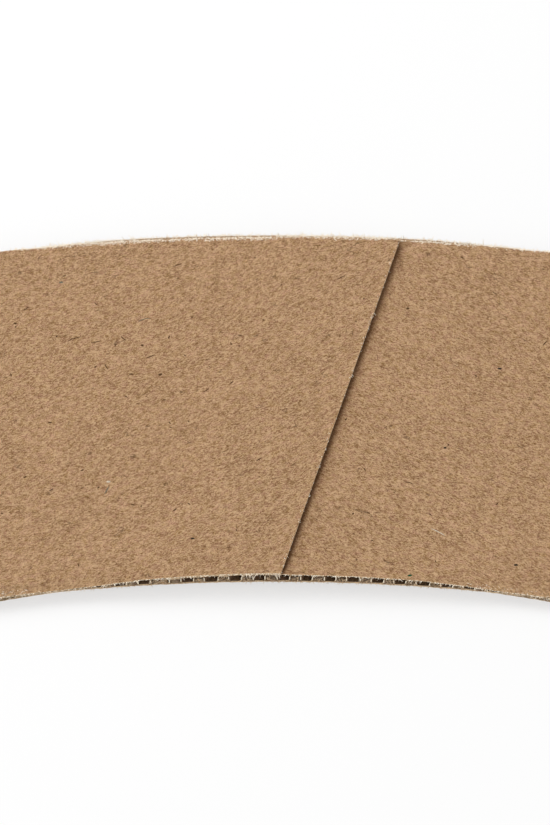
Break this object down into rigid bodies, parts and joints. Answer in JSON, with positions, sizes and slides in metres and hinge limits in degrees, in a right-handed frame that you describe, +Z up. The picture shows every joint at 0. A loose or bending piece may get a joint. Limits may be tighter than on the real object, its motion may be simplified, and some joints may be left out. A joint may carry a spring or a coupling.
{
  "type": "coffee cup sleeve",
  "caption": "Corrugated kraft board cup sleeve, glued into a tapered ring and folded flat, with a slanted overlap seam across the front.",
  "frame": {"origin": "middle of the folded sleeve's footprint, on the table under its rear panel", "axes": "+X across the sleeve from its left fold to its right fold, +Y from the narrow rim to the wide rim, +Z up out of the front panel"},
  "size_m": [0.1342, 0.0674, 0.0037],
  "materials": {
    "kraft_board": "matte unbleached kraft liner over a fluted medium"
  },
  "bodies": {
    "root": {"sleeve": "kraft_board"}
  },
  "joints": []
}
